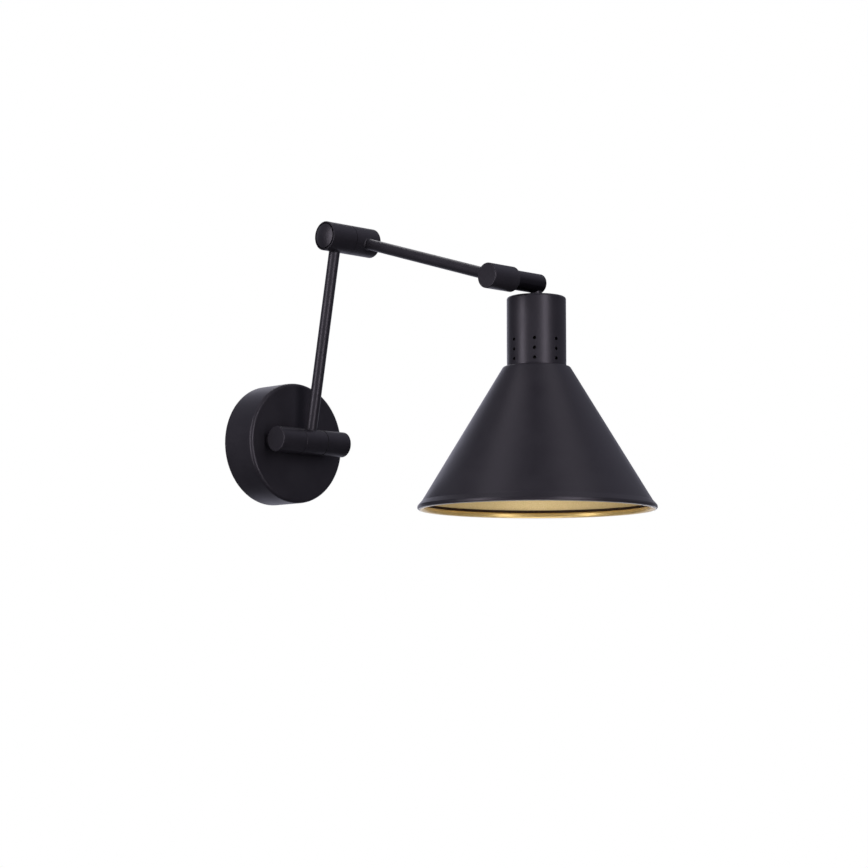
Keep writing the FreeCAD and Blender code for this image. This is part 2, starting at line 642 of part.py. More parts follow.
def elbow():
    left = "(-sizes.elbow_segment / 2)"
    lower_length = "(sizes.elbow_segment - %s)" % SEAM
    seam_end = "(sizes.elbow_segment / 2)"
    lower = elbow_barrel("elbow_barrel_lower", lower_length, -1, -1)
    finish("elbow_barrel_lower", lower, on_elbow_lower, left)
    upper = elbow_barrel("elbow_barrel_upper", "sizes.elbow_segment", 1, 1)
    finish("elbow_barrel_upper", upper, on_upper_arm, seam_end)
    cap = elbow_cap("elbow_cap_left")
    finish("elbow_cap_left", cap, on_elbow_lower, "%s - sizes.elbow_cap_rise" % left)
    far_cap = elbow_cap("elbow_cap_right")
    far_cap.Label = "elbow_cap_right"
    put(far_cap, "1.5 * sizes.elbow_segment + sizes.elbow_cap_rise", ELBOW_Y, ELBOW_Z, Z, 180)
    pieces.append(far_cap)
    ring = tube("elbow_washer", "X", AXLE_SEAT, "sizes.elbow_diameter / 2 - sizes.seam_inset",
                0, "sizes.seam_washer")
    finish("elbow_washer", ring, on_elbow_lower, "%s + %s" % (left, lower_length))


def elbow_hardware():
    """The hollow bolt that joins the two segments, with its nut and spring washer."""
    head_end = "sizes.elbow_recess_depth"
    head_start = head_end + " - sizes.elbow_head_height"
    far_seat = "(2 * sizes.elbow_segment - sizes.elbow_recess_depth)"
    washer_start = far_seat + " + sizes.running_gap"
    nut_start = washer_start + " + sizes.spring_washer_sheet"
    bolt_end = nut_start + " + sizes.elbow_nut_height + sizes.thread_reach"
    bore = "sizes.axle_bore / 2"
    shank = "sizes.axle_diameter / 2"
    bolt = turned("elbow_bolt", "X", [
        (bore, head_start), ("sizes.elbow_head_radius", head_start),
        ("sizes.elbow_head_radius", head_end), (shank, head_end), (shank, bolt_end),
        (bore, bolt_end)])
    middle = "sizes.elbow_segment / 2"
    drill(bolt, "sizes.arm_bore", shank, middle, 0, 0, Z * -1)
    mill(bolt, "sizes.wire_window", shank, "sizes.axle_diameter",
         "1.5 * sizes.elbow_segment - sizes.wire_window / 2", "-" + shank, "-" + shank)
    finish("elbow_bolt", bolt, on_elbow_lower, "-" + middle)
    washer = tube("elbow_spring_washer", "X", AXLE_SEAT, "sizes.spring_washer_radius",
                  0, "sizes.spring_washer_sheet")
    finish("elbow_spring_washer", washer, on_elbow_lower, "%s - %s" % (washer_start, middle))
    hexagon = nut("elbow_nut", X, "sizes.elbow_nut_flats", "sizes.elbow_nut_height",
                  "2 * " + AXLE_SEAT)
    finish("elbow_nut", hexagon, on_elbow_lower, "%s - %s" % (nut_start, middle))


def lower_arm_leads():
    """From the foot of the lower arm up into the bolt and along it to the upper segment."""
    top = size("sizes.arm_length")
    points = [Vector(0, 0, size("sizes.arm_seat + sizes.lead_gap")), Vector(0, 0, top),
              Vector(size("sizes.elbow_segment - sizes.elbow_lead_inset"), 0, top)]
    lead_pair("lower_arm_leads", points, size("sizes.lead_bend"), Y, on_lower_arm)


def upper_arm():
    arm = tube("upper_arm_tube", "Z", "sizes.arm_bore / 2", "sizes.arm_diameter / 2",
               "sizes.arm_seat", "sizes.arm_length - sizes.arm_seat")
    finish("upper_arm_tube", arm, on_upper_arm, UPPER_ARM_X)
    start = size("sizes.arm_seat + sizes.lead_gap")
    points = [Vector(0, 0, start), Vector(0, 0, size("sizes.arm_length") - start)]
    lead_pair("upper_arm_leads", points, 0, Y, on_upper_arm, UPPER_ARM_X)


def head_barrel():
    """The big barrel at the end of the upper arm: the tilt tube turns inside it."""
    outer = "sizes.head_diameter / 2"
    fit = "(sizes.tilt_tube_diameter / 2 + sizes.running_gap)"
    recess = "sizes.head_recess_radius"
    length = "(sizes.head_length - sizes.cap_thickness - sizes.seam_washer)"
    body = turned("head_barrel", "X", [
        (recess, 0), (outer, 0), (outer, length), (fit, length),
        (fit, "sizes.head_recess_depth"), (recess, "sizes.head_recess_depth")])
    middle = "sizes.head_length / 2 - sizes.cap_thickness"
    drill(body, "sizes.arm_diameter + 2 * sizes.seat_gap", outer, middle, way=Z * -1)
    flare(body, "sizes.arm_diameter / 2", "sizes.mouth_flare", "sizes.mouth_flare",
          middle, "-(%s)" % outer)
    dress("Fillet", body, X, outer, length, "sizes.head_edge_round")
    finish("head_barrel", body, on_head, "%s + sizes.cap_thickness" % HEAD_LEFT)
    spigot = recess + " - sizes.seat_gap"
    depth = "sizes.cap_thickness + sizes.head_spigot"
    cap = turned("head_cap", "X", [
        (0, 0), (outer, 0), (outer, "sizes.cap_thickness"), (spigot, "sizes.cap_thickness"),
        (spigot, depth), (0, depth)])
    dress("Fillet", cap, X, outer, 0, "sizes.cap_edge_round")
    finish("head_cap", cap, on_head, HEAD_LEFT)
    ring = tube("tilt_washer", "X", fit, "sizes.tilt_diameter / 2 - sizes.tilt_seam_inset",
                0, "sizes.seam_washer")
    finish("tilt_washer", ring, on_head, "%s - sizes.seam_washer" % HEAD_RIGHT)


def tilt_barrel():
    """The small barrel that turns with the shade. The stem drops from it near its right end."""
    outer = "sizes.tilt_diameter / 2"
    seat = "sizes.tilt_tube_diameter / 2 + sizes.seat_gap"
    end = "sizes.tilt_length"
    floor = end + " - sizes.tilt_bore_end"
    body = turned("tilt_barrel", "X", [
        (seat, 0), (outer, 0), (outer, end), (0, end), (0, floor), (seat, floor)])
    dress("Fillet", body, X, outer, end, "sizes.tilt_end_round")
    drill(body, "sizes.nipple_diameter + 2 * sizes.seat_gap", outer,
          "%s - sizes.stem_inset" % end)
    finish("tilt_barrel", body, on_tilt, TILT_LEFT)


def tilt_hardware():
    """The hollow tube that carries the shade, with its spring washer and nut."""
    radius = "sizes.tilt_tube_diameter / 2"
    recess_end = "(%s + sizes.cap_thickness + sizes.head_recess_depth)" % HEAD_LEFT
    washer_x = recess_end + " - sizes.running_gap - sizes.tilt_washer_sheet"
    nut_x = washer_x + " - sizes.tilt_nut_height"
    start = nut_x + " - sizes.thread_reach"
    length = "%s + sizes.tilt_tube_reach - (%s)" % (TILT_LEFT, start)
    body = tube("tilt_tube", "X", "sizes.tilt_tube_bore / 2", radius, 0, length)
    mill(body, "sizes.wire_window", radius, "sizes.tilt_tube_diameter",
         "%s - (%s) - sizes.wire_window / 2" % (UPPER_ARM_X, start), "-" + radius, "-" + radius)
    finish("tilt_tube", body, on_tilt, start)
    fit = radius + " + sizes.seat_gap"
    washer = tube("tilt_spring_washer", "X", fit, "sizes.tilt_washer_radius",
                  0, "sizes.tilt_washer_sheet")
    finish("tilt_spring_washer", washer, on_tilt, washer_x)
    hexagon = nut("tilt_nut", X, "sizes.tilt_nut_flats", "sizes.tilt_nut_height",
                  "2 * (%s)" % fit)
    finish("tilt_nut", hexagon, on_tilt, nut_x)


def stem():
    outer = "sizes.stem_diameter / 2"
    hole = "sizes.nipple_diameter / 2 + sizes.seat_gap"
    collar = tube("stem_collar", "Z", hole, outer, "sizes.stem_start", "sizes.stem_drop")
    drill(collar, "sizes.tilt_diameter + 2 * sizes.seat_gap", "2 * sizes.stem_diameter",
          "-sizes.stem_diameter", way=X)
    finish("stem_collar", collar, on_tilt, STEM_X)
    nipple = tube("stem_nipple", "Z", "sizes.nipple_bore / 2", "sizes.nipple_diameter / 2",
                  "sizes.nipple_start", "sizes.nipple_start + sizes.nipple_length")
    finish("stem_nipple", nipple, on_tilt, STEM_X)
    hexagon = nut("cup_nut", Z, "sizes.cup_nut_flats", "sizes.cup_nut_height", "2 * (%s)" % hole)
    hexagon.Label = "cup_nut"
    put(hexagon, STEM_X, TILT_Y,
        TILT_Z + " - sizes.stem_drop - sizes.cup_wall - sizes.cup_nut_height")
    pieces.append(hexagon)


def socket_cup():
    """The cylinder over the lampholder, with three rows of eight vent holes near its foot."""
    outer = "sizes.cup_diameter / 2"
    inner = outer + " - sizes.cup_wall"
    hole = "sizes.nipple_diameter / 2 + 2 * sizes.running_gap"
    body = turned("socket_cup", "Z", [
        (hole, 0), (outer, 0), (outer, "sizes.cup_height"), (inner, "sizes.cup_height"),
        (inner, "sizes.cup_wall"), (hole, "sizes.cup_wall")])
    dress("Fillet", body, Z, outer, 0, "sizes.cup_edge_round")
    for row in range(3):
        level = "sizes.vent_first + %d * sizes.vent_pitch" % row
        vent = drill(body, "sizes.vent_diameter", "3 * sizes.cup_wall", 0,
                     "%s - 2 * sizes.cup_wall" % outer, level, Y)
        repeat_round(body, vent, "Z_Axis", 8)
    finish("socket_cup", body, on_cup)
    half_turn = math.radians(size("sizes.vent_turn")) / 2
    axis = Vector(math.cos(half_turn), -math.sin(half_turn), 0)
    body.Placement = Placement(body.Placement.Base, Rotation(axis, 180))


def lampholder():
    """A two-part holder for a screw-base bulb, clamped to the shade's flat top."""
    cap_top = "sizes.holder_cap_top"
    cap_end = "sizes.holder_cap_top + sizes.holder_cap_height"
    cap_inner = "sizes.holder_cap_radius - sizes.holder_cap_wall"
    cap_floor = "sizes.holder_top"
    hole = "sizes.nipple_diameter / 2 + sizes.seat_gap"
    cap = turned("lampholder_cap", "Z", [
        (hole, cap_top), ("sizes.holder_cap_radius", cap_top), ("sizes.holder_cap_radius", cap_end),
        (cap_inner, cap_end), (cap_inner, cap_floor), (hole, cap_floor)])
    dress("Fillet", cap, Z, "sizes.holder_cap_radius", cap_top, "sizes.holder_cap_round")
    finish("lampholder_cap", cap, on_cup)
    flange_end = "sizes.cup_height"
    flange_start = "sizes.cup_height - sizes.holder_flange_sheet"
    floor = "sizes.holder_floor"
    cavity_top = "sizes.holder_floor + sizes.holder_floor_sheet"
    holder = "sizes.holder_radius"
    body = turned("lampholder_body", "Z", [
        (0, floor), ("sizes.holder_chamber", floor), ("sizes.holder_chamber", "sizes.holder_top"),
        ("sizes.holder_neck_radius", "sizes.holder_top"),
        ("sizes.holder_neck_radius", "sizes.holder_step"), (holder, "sizes.holder_step"),
        (holder, flange_start), ("sizes.holder_flange_radius", flange_start),
        ("sizes.holder_flange_radius", flange_end), (holder, flange_end),
        (holder, "sizes.holder_end"), ("sizes.holder_cavity", "sizes.holder_end"),
        ("sizes.holder_cavity", cavity_top), (0, cavity_top)])
    for side in (-1, 1):
        drill(body, "sizes.ground_screw_diameter + 2 * sizes.seat_gap",
              "sizes.terminal_hole_depth", "%d * sizes.terminal_spacing / 2" % side, 0, floor)
    finish("lampholder_body", body, on_cup)


def contacts():
    outer = "sizes.shell_radius + sizes.shell_sheet"
    top = "sizes.shell_mouth - sizes.shell_length"
    under = top + " + sizes.shell_sheet"
    hole = "sizes.shell_floor_hole"
    shell = turned("screw_shell", "Z", [
        (hole, top), (outer, top), (outer, "sizes.shell_mouth"),
        ("sizes.shell_radius", "sizes.shell_mouth"), ("sizes.shell_radius", under), (hole, under)])
    finish("screw_shell", shell, on_cup)
    base = "(sizes.holder_floor + sizes.holder_floor_sheet)"
    step = base + " + sizes.contact_sheet"
    tip = step + " + sizes.contact_tip_height"
    contact = turned("centre_contact", "Z", [
        (0, base), ("sizes.contact_radius", base), ("sizes.contact_radius", step),
        ("sizes.contact_tip_radius", step), ("sizes.contact_tip_radius", tip), (0, tip)])
    dress("Fillet", contact, Z, "sizes.contact_tip_radius", tip, "sizes.contact_tip_round")
    finish("centre_contact", contact, on_cup)


def terminal_screws():
    floor = "sizes.holder_floor"
    top = floor + " - sizes.terminal_height"
    end = floor + " + sizes.terminal_shank"

    def screw(name):
        shank = "sizes.ground_screw_diameter / 2"
        head = "sizes.terminal_head / 2"
        body = turned(name, "Z", [
            (0, top), (head, top), (head, floor), (shank, floor), (shank, end), (0, end)])
        mill(body, "sizes.terminal_head", "sizes.driver_slot_width", "sizes.driver_slot_depth",
             "-" + head, "-sizes.driver_slot_width / 2", top)
        return body

    def in_cup(item, x):
        put(item, "%s + %s" % (STEM_X, x), TILT_Y, TILT_Z + " - sizes.stem_drop", X, 180)

    both_sides("terminal_screws", screw, in_cup, "sizes.terminal_spacing / 2")


def shade():
    """A spun cone with a flat top, a rounded shoulder, a flared lip and a hem folded inside."""
    top = "sizes.cup_height"
    sheet_wall = "sizes.shade_sheet"
    slant = "(sizes.cone_end_radius - sizes.shade_shoulder) / sizes.cone_end_drop"
    side_wall = "sizes.shade_sheet * sqrt(1 + (%s) * (%s))" % (slant, slant)
    rim = "sizes.rim_diameter / 2"
    bottom = top + " + sizes.shade_height"
    hem_top = bottom + " - sizes.hem_height"
    inner_shoulder = "sizes.shade_shoulder - %s + (%s) * sizes.shade_sheet" % (side_wall, slant)
    hem_wall = "sizes.flare_radius - %s - sizes.hem_inset" % side_wall
    body = turned("shade", "Z", [
        ("sizes.shade_hole_radius", top), ("sizes.shade_shoulder", top),
        ("sizes.cone_end_radius", top + " + sizes.cone_end_drop"),
        ("sizes.flare_radius", top + " + sizes.flare_drop"),
        (rim, bottom + " - sizes.lip_height"), (rim + " - sizes.lip_edge", bottom),
        (rim + " - sizes.lip_width", bottom),
        (hem_wall + " - sizes.hem_sheet", hem_top), (hem_wall, hem_top),
        ("sizes.cone_end_radius - " + side_wall, top + " + sizes.cone_end_drop"),
        (inner_shoulder, "%s + %s" % (top, sheet_wall)),
        ("sizes.shade_hole_radius", "%s + %s" % (top, sheet_wall))])
    dress("Fillet", body, Z, "sizes.shade_shoulder", top, "sizes.shade_shoulder_round")
    dress("Fillet", body, Z, inner_shoulder, "%s + %s" % (top, sheet_wall),
          "sizes.shade_shoulder_round - sizes.shade_sheet")
    finish("shade", body, on_cup)


def shade_ring():
    """The threaded ring that clamps the shade's flat top against the lampholder's flange."""
    start = "sizes.cup_height + sizes.shade_sheet"
    end = start + " + sizes.ring_height"
    ring = tube("shade_ring", "Z", "sizes.holder_radius + sizes.seat_gap", "sizes.ring_radius",
                start, end)
    dress("Chamfer", ring, Z, "sizes.ring_radius", end, "sizes.ring_edge")
    finish("shade_ring", ring, on_cup)


def socket_leads():
    """From the tilt tube round into the stem's nipple and down to the lampholder's chamber."""
    stem_x = size(STEM_X)
    start_x = size(UPPER_ARM_X + " + sizes.socket_lead_start")
    holder_top = "sizes.stem_drop + sizes.holder_floor - sizes.terminal_height"
    end = size(holder_top + " - sizes.socket_lead_gap")
    points = [Vector(start_x, 0, 0), Vector(stem_x, 0, 0), Vector(stem_x, 0, end)]
    lead_pair("socket_leads", points, size("sizes.stem_lead_bend"), Y, on_tilt)


def check_and_export():
    """Stop on any failed object or bad shape, then write one STEP file for each piece."""
    document.recompute()
    for item in document.Objects:
        if "Invalid" in item.State or "Error" in item.State:
            raise RuntimeError("%s failed: %s" % (item.Name, item.State))
    for item in pieces:
        shape = item.Shape
        if shape.isNull() or not shape.isValid() or not shape.Solids:
            raise RuntimeError("%s has no valid solid" % item.Label)
    os.makedirs("parts", exist_ok=True)
    for old in os.listdir("parts"):
        os.remove(os.path.join("parts", old))
    for item in pieces:
        item.Shape.exportStep(os.path.join("parts", item.Label + ".step"))
        box = item.Shape.optimalBoundingBox(True, False)
        print("%-20s %d solid(s) %9.1f mm3  X %.1f..%.1f  Y %.1f..%.1f  Z %.1f..%.1f" % (
            item.Label, len(item.Shape.Solids), item.Shape.Volume,
            box.XMin, box.XMax, box.YMin, box.YMax, box.ZMin, box.ZMax))


bracket()
ground_screw()
ground_lead()
canopy()
canopy_screws()
posts()
post_fasteners()
pivot_barrels()
pivot_axle()
pivot_fittings()
supply_leads()
lower_arm()
elbow()
elbow_hardware()
lower_arm_leads()
upper_arm()
head_barrel()
tilt_barrel()
tilt_hardware()
stem()
socket_cup()
lampholder()
contacts()
terminal_screws()
shade()
shade_ring()
socket_leads()
check_and_export()
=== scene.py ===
"""Looks of the swing arm wall sconce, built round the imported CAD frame."""

import json
import math

import bmesh
import bpy
from mathutils import Matrix, Vector

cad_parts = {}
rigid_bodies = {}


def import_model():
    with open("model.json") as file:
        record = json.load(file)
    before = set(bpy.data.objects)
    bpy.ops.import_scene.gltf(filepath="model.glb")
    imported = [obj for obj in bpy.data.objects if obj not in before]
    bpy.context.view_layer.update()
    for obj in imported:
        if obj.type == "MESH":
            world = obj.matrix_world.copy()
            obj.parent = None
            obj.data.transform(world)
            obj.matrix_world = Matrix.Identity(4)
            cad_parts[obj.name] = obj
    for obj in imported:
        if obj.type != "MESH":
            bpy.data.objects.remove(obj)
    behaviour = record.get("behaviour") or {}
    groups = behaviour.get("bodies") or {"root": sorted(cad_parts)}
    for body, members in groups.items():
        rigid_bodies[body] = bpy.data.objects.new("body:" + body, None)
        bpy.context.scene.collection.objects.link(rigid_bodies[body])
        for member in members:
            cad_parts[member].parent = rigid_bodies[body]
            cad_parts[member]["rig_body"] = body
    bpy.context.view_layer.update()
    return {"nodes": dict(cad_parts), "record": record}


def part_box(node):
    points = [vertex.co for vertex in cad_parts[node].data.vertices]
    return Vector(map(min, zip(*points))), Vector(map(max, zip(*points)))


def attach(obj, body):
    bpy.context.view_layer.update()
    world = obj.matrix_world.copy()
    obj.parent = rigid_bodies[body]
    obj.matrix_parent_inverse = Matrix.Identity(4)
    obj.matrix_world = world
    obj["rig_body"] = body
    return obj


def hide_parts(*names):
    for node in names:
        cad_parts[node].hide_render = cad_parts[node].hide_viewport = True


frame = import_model()

MM = 0.001
NODES = frame["nodes"]
BODY_OF = {node: obj["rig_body"] for node, obj in NODES.items()}
BLACK_TINT = (0.94, 0.85, 1.0, 1.0)  # the faint purple of the black's reflections
CAMERA_SIDE = -44.0                  # degrees; the lights' turns are counted from here
LIGHT_DISTANCE = 2.2                 # metres, as the floor's drop and radius are
FLOOR_DROP, FLOOR_RADIUS = 1.5, 5


# ---------------------------------------------------------------- shader helpers

class Shader:
    """A material's node tree, with short ways to add and join nodes. Textures are in millimetres."""

    def __init__(self, name):
        self.material = bpy.data.materials.new(name)
        self.material.use_nodes = True
        self.tree = self.material.node_tree
        self.bsdf = self.tree.nodes["Principled BSDF"]
        place = self.tree.nodes.new("ShaderNodeTexCoord")
        scaled = self.tree.nodes.new("ShaderNodeVectorMath")
        scaled.operation = "SCALE"
        scaled.inputs["Scale"].default_value = 1 / MM
        self.tree.links.new(place.outputs["Object"], scaled.inputs[0])
        self.place = scaled.outputs[0]

    def set(self, **values):
        """Constants on the shader's own sockets, an underscore standing for a space."""
        for name, value in values.items():
            self.bsdf.inputs[name.replace("_", " ")].default_value = value

    def link(self, output, name):
        """A varying value into one of the shader's sockets."""
        self.tree.links.new(output, self.bsdf.inputs[name])

    def noise(self, size, detail=3.0, roughness=0.55, stretch=(1, 1, 1), distortion=0.0):
        """Noise whose features are about size millimetres across, stretched along some axes."""
        squeeze = self.tree.nodes.new("ShaderNodeVectorMath")
        squeeze.operation = "MULTIPLY"
        squeeze.inputs[1].default_value = [1 / s for s in stretch]
        self.tree.links.new(self.place, squeeze.inputs[0])
        node = self.tree.nodes.new("ShaderNodeTexNoise")
        node.inputs["Scale"].default_value = 1 / size
        node.inputs["Detail"].default_value = detail
        node.inputs["Roughness"].default_value = roughness
        node.inputs["Distortion"].default_value = distortion
        self.tree.links.new(squeeze.outputs[0], node.inputs["Vector"])
        return node.outputs["Fac"]

    def voronoi(self, size):
        """Distance to the nearest of scattered points, about size millimetres apart."""
        node = self.tree.nodes.new("ShaderNodeTexVoronoi")
        node.inputs["Scale"].default_value = 1 / size
        self.tree.links.new(self.place, node.inputs["Vector"])
        return node.outputs["Distance"]

    def span(self, value, low, high, start=0.3, end=0.7):
        """A value spread between two numbers."""
        node = self.tree.nodes.new("ShaderNodeMapRange")
        for name, number in (("From Min", start), ("From Max", end), ("To Min", low), ("To Max", high)):
            node.inputs[name].default_value = number
        self.tree.links.new(value, node.inputs["Value"])
        return node.outputs["Result"]

    def mix(self, factor, first, second):
        """A colour between two; a colour may be a socket or three numbers."""
        node = self.tree.nodes.new("ShaderNodeMix")
        node.data_type = "RGBA"
        self.tree.links.new(factor, node.inputs[0])
        for index, colour in ((6, first), (7, second)):
            if hasattr(colour, "links"):
                self.tree.links.new(colour, node.inputs[index])
            else:
                node.inputs[index].default_value = (*colour, 1)
        return node.outputs[2]

    def sums(self, operation, first, second):
        """One step of arithmetic on sockets or numbers."""
        node = self.tree.nodes.new("ShaderNodeMath")
        node.operation = operation
        for index, value in ((0, first), (1, second)):
            if hasattr(value, "links"):
                self.tree.links.new(value, node.inputs[index])
            else:
                node.inputs[index].default_value = value
        return node.outputs[0]

    def edge(self, radius):
        """1 on sharp edges and 0 on flat or gently curved surface, from a rounded normal."""
        bevel = self.tree.nodes.new("ShaderNodeBevel")
        bevel.samples = 4
        bevel.inputs["Radius"].default_value = radius * MM
        own = self.tree.nodes.new("ShaderNodeNewGeometry")
        dot = self.tree.nodes.new("ShaderNodeVectorMath")
        dot.operation = "DOT_PRODUCT"
        self.tree.links.new(bevel.outputs[0], dot.inputs[0])
        self.tree.links.new(own.outputs["Normal"], dot.inputs[1])
        return self.span(dot.outputs["Value"], 1, 0, 0.90, 0.995)

    def bump(self, height, depth, under=None):
        """Surface relief of a depth in millimetres, on top of another one if given."""
        node = self.tree.nodes.new("ShaderNodeBump")
        node.inputs["Strength"].default_value = 1.0
        node.inputs["Distance"].default_value = depth * MM
        self.tree.links.new(height, node.inputs["Height"])
        if under is not None:
            self.tree.links.new(under, node.inputs["Normal"])
        self.tree.links.new(node.outputs["Normal"], self.bsdf.inputs["Normal"])
        return node.outputs["Normal"]


def powder_coat():
    """Satin black powder coat, faintly purple: a fine orange peel, small changes of gloss, and a
    painted highlight along sharp edges.
    """
    s = Shader("powder_coat")
    s.set(Metallic=0.0, IOR=1.5, Specular_Tint=BLACK_TINT)
    cloud = s.noise(26, 3)
    grain = s.noise(0.5, 2)
    tone = s.mix(s.span(cloud, 0, 1), (0.0115, 0.0102, 0.0135), (0.0165, 0.0150, 0.0190))
    tone = s.mix(s.span(grain, 0, 0.35, 0.45, 0.75), tone, (0.030, 0.028, 0.033))
    # painted highlight: sharp edges are mixed toward a lighter grey, broken up by noise
    edge_highlight = s.sums("MULTIPLY", s.edge(0.35), s.span(s.noise(3.5, 4), 0.1, 0.6))
    s.link(s.mix(edge_highlight, tone, (0.045, 0.042, 0.047)), "Base Color")
    s.link(s.sums("ADD", s.span(cloud, 0.36, 0.42), s.span(grain, -0.03, 0.04)), "Roughness")
    peel = s.bump(s.noise(1.1, 2), 0.010)
    s.bump(grain, 0.008, under=peel)
    return s.material


def shaded_gloss_black():
    """The tilt barrel's finish: a smoother gloss black whose colour is painted far darker than the
    powder coat as painted shade, with the same painted highlight on sharp edges.
    """
    s = Shader("shaded_gloss_black")
    s.set(IOR=1.5, Specular_Tint=BLACK_TINT)
    cloud = s.noise(14, 3)
    edge_highlight = s.sums("MULTIPLY", s.edge(0.35), s.span(s.noise(3.5, 4), 0.1, 0.6))
    # painted shade: a much darker copy of the powder coat's colour
    tone = s.mix(s.span(cloud, 0, 1), (0.0012, 0.0010, 0.0014), (0.0026, 0.0023, 0.0030))
    s.link(s.mix(edge_highlight, tone, (0.030, 0.028, 0.032)), "Base Color")
    s.link(s.span(cloud, 0.24, 0.28), "Roughness")
    s.bump(s.noise(1.6, 2), 0.004)
    return s.material


def gold_paint():
    """Fine-grained matte gold metallic paint, as sprayed inside the shade."""
    s = Shader("gold_paint")
    s.set(Metallic=0.35)
    cloud = s.noise(14, 4)
    grain = s.noise(1.0, 3, 0.7)
    tone = s.mix(s.span(cloud, 0, 1), (0.585, 0.43, 0.172), (0.645, 0.48, 0.208))
    s.link(s.mix(s.span(grain, 0, 0.65), tone, (0.86, 0.70, 0.40)), "Base Color")
    s.link(s.sums("ADD", s.span(cloud, 0.50, 0.58), s.span(grain, -0.05, 0.06)), "Roughness")
    s.bump(grain, 0.03)
    return s.material


def gold_hem():
    """The same gold on the rolled hem, smoother, painted a lighter gold as a painted highlight, and
    paler where it is seen edge-on.
    """
    s = Shader("gold_hem")
    s.set(Metallic=0.55, Sheen_Weight=0.5, Sheen_Roughness=0.35)
    streak = s.noise(9, 2)
    grain = s.noise(0.5, 2)
    # painted highlight: a lighter copy of the wall's gold
    s.link(s.mix(s.span(streak, 0, 1), (0.73, 0.52, 0.195), (0.80, 0.585, 0.24)), "Base Color")
    s.link(s.sums("ADD", s.span(streak, 0.30, 0.36), s.span(grain, -0.02, 0.02)), "Roughness")
    s.bump(grain, 0.004)
    return s.material


def fold_shadow():
    """The crease above the hem, painted near black-brown as painted shade, mottled by noise."""
    s = Shader("fold_shadow")
    s.set(Metallic=0.3)
    shade_mottle = s.noise(1.2, 3)
    # painted shade: the crease's colour, between near black and dark brown
    s.link(s.mix(s.span(shade_mottle, 0, 1), (0.012, 0.004, 0.001), (0.060, 0.028, 0.010)), "Base Color")
    s.link(s.span(shade_mottle, 0.6, 0.8), "Roughness")
    s.bump(shade_mottle, 0.02)
    return s.material


def lip_coat():
    """The black coat over the rolled lip where it meets the gold, painted up to a pale grey as a
    painted reflection, and paler seen edge-on.
    """
    s = Shader("lip_coat")
    s.set(IOR=1.5, Sheen_Weight=0.9, Sheen_Roughness=0.3)
    pale_mottle = s.noise(5, 4)
    # painted reflection: the lip's colour runs from the black up to a pale grey
    s.link(s.mix(s.span(pale_mottle, 0, 1), (0.030, 0.028, 0.033), (0.10, 0.09, 0.10)), "Base Color")
    s.link(s.span(pale_mottle, 0.30, 0.40), "Roughness")
    s.bump(s.noise(1.1, 2), 0.006)
    return s.material


def zinc():
    """Zinc-plated steel: faint spangle, fine turning marks and dull patches."""
    s = Shader("zinc_plate")
    s.set(Metallic=1.0)
    spangle = s.voronoi(1.6)
    haze = s.noise(6, 4)
    tone = s.mix(s.span(spangle, 0, 1, 0.1, 0.8), (0.50, 0.50, 0.49), (0.66, 0.66, 0.63))
    s.link(s.mix(s.span(haze, 0, 0.5), tone, (0.42, 0.41, 0.38)), "Base Color")
    s.link(s.span(haze, 0.26, 0.46), "Roughness")
    s.bump(s.noise(0.3, 3), 0.008)
    return s.material


def spring_steel():
    """Dark spring steel: hazy grey with fine scratches."""
    s = Shader("spring_steel")
    s.set(Metallic=1.0)
    haze = s.noise(3, 4)
    s.link(s.mix(s.span(haze, 0, 1), (0.22, 0.21, 0.21), (0.40, 0.38, 0.36)), "Base Color")
    s.link(s.span(haze, 0.28, 0.44), "Roughness")
    s.bump(s.noise(0.25, 2), 0.006)
    return s.material


def fibre():
    """Black vulcanised fibre, with short fibres in it."""
    s = Shader("fibre")
    strand = s.noise(0.25, 3, stretch=(1, 4, 1))
    s.link(s.mix(s.span(strand, 0, 1), (0.012, 0.012, 0.013), (0.035, 0.034, 0.034)), "Base Color")
    s.link(s.span(strand, 0.6, 0.8), "Roughness")
    s.bump(strand, 0.02)
    return s.material


def brass():
    """Drawn brass with some tarnish and drawing lines."""
    s = Shader("brass")
    s.set(Metallic=1.0)
    tarnish = s.noise(4, 5)
    s.link(s.mix(s.span(tarnish, 0, 1), (0.78, 0.56, 0.25), (0.58, 0.38, 0.15)), "Base Color")
    s.link(s.span(tarnish, 0.22, 0.42), "Roughness")
    s.bump(s.noise(0.3, 3, stretch=(1, 1, 6)), 0.008)
    return s.material


def green_coat():
    """The ground screw's green coating, worn through on its edges."""
    s = Shader("green_coat")
    s.set(Metallic=0.6)
    wear = s.sums("MULTIPLY", s.edge(0.25), s.span(s.noise(0.8, 4), 0.2, 1.0))
    tone = s.mix(s.span(s.noise(2, 3), 0, 1), (0.018, 0.16, 0.045), (0.03, 0.24, 0.07))
    s.link(s.mix(wear, tone, (0.50, 0.48, 0.42)), "Base Color")
    s.link(s.span(s.noise(1.5, 3), 0.24, 0.38), "Roughness")
    s.bump(s.noise(0.4, 2), 0.006)
    return s.material


def copper():
    """Stranded bare copper: fine lay lines and a little tarnish."""
    s = Shader("copper")
    s.set(Metallic=1.0)
    tarnish = s.noise(2.5, 4)
    s.link(s.mix(s.span(tarnish, 0, 1), (0.80, 0.36, 0.19), (0.55, 0.22, 0.11)), "Base Color")
    s.link(s.span(tarnish, 0.22, 0.40), "Roughness")
    s.bump(s.noise(0.2, 2, stretch=(3, 1, 1)), 0.05)
    return s.material


def insulation(name, dark, light):
    """Soft plastic wire insulation, with a slight waxy sheen and handling marks."""
    s = Shader(name)
    mark = s.noise(3, 4)
    s.link(s.mix(s.span(mark, 0, 1), dark, light), "Base Color")
    s.link(s.span(mark, 0.36, 0.52), "Roughness")
    s.bump(s.noise(0.8, 3), 0.02)
    return s.material


